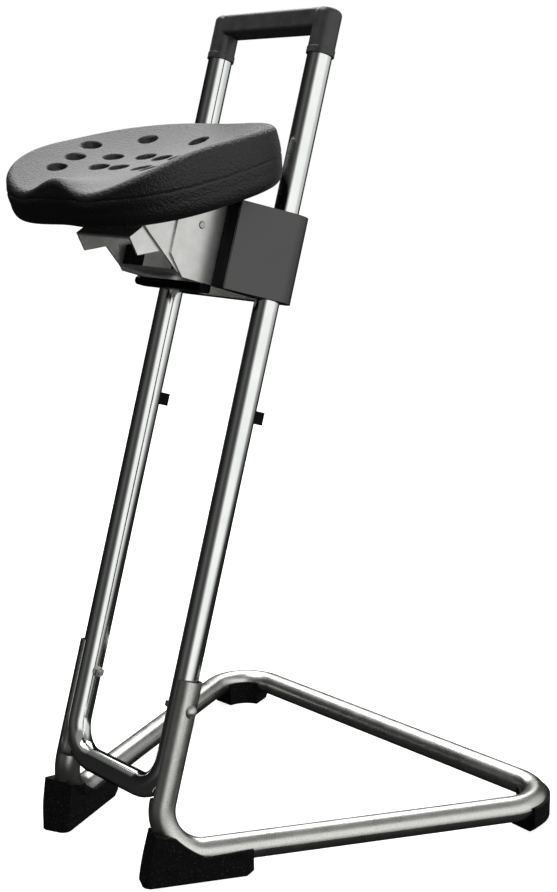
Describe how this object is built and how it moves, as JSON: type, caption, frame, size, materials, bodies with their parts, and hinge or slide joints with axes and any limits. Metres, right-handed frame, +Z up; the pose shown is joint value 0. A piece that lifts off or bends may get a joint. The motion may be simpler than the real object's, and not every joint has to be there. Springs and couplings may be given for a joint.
{
  "type": "perch stool",
  "caption": "Leaning perch stool with a dished foam seat that tilts and slides along upright tubes on a bent tube base, with a carrying handle.",
  "frame": {"origin": "middle of the footprint box at floor level", "axes": "+Z up, the sitter faces -Y, +X to the sitter's left; X = 0 is the mirror plane"},
  "size_m": [0.591, 0.5218, 0.94],
  "materials": {
    "upright_chrome": "bright plated",
    "base_steel": "dull plated, lightly speckled",
    "bracket_steel": "satin zinc plate",
    "plate_steel": "black, matt",
    "fastener_zinc": "zinc plate",
    "sleeve_grey": "warm dark grey, satin",
    "black_plastic": "moulded",
    "handle_plastic": "semi-gloss moulded",
    "foot_rubber": "matt",
    "seat_foam": "integral-skin foam with a leather grain"
  },
  "bodies": {
    "frame": {"base_loop": "base_steel", "upright_frame": "upright_chrome", "saddle_bolts": "fastener_zinc", "saddle_washers": "fastener_zinc", "saddle_nuts": "fastener_zinc", "front_shoe_right": "foot_rubber", "front_shoe_left": "foot_rubber", "rear_pad_right": "foot_rubber", "rear_pad_left": "foot_rubber", "height_stop_right": "black_plastic", "height_stop_left": "black_plastic", "carry_handle": "handle_plastic"},
    "carriage": {"carriage_sleeve": "sleeve_grey", "guide_block_right": "black_plastic", "guide_block_left": "black_plastic", "carriage_bracket": "bracket_steel", "support_bracket": "bracket_steel", "tilt_pin": "fastener_zinc", "tilt_buffer_right": "foot_rubber", "tilt_buffer_left": "foot_rubber", "cover_bar": "black_plastic"},
    "seat": {"seat_bracket": "bracket_steel", "seat_plate": "plate_steel", "seat_screws": "fastener_zinc", "seat_cushion": "seat_foam"}
  },
  "joints": [
    {"name": "seat_height", "type": "slide", "parent": "frame", "child": "carriage", "axis": [0, 0.2817, 0.9595], "range_m": [-0.118, 0.135]},
    {"name": "seat_tilt", "type": "hinge", "parent": "carriage", "child": "seat", "pos_m": [0, -0.10406, 0.70815], "axis": [1, 0, 0], "range_deg": [-4, 4]}
  ]
}
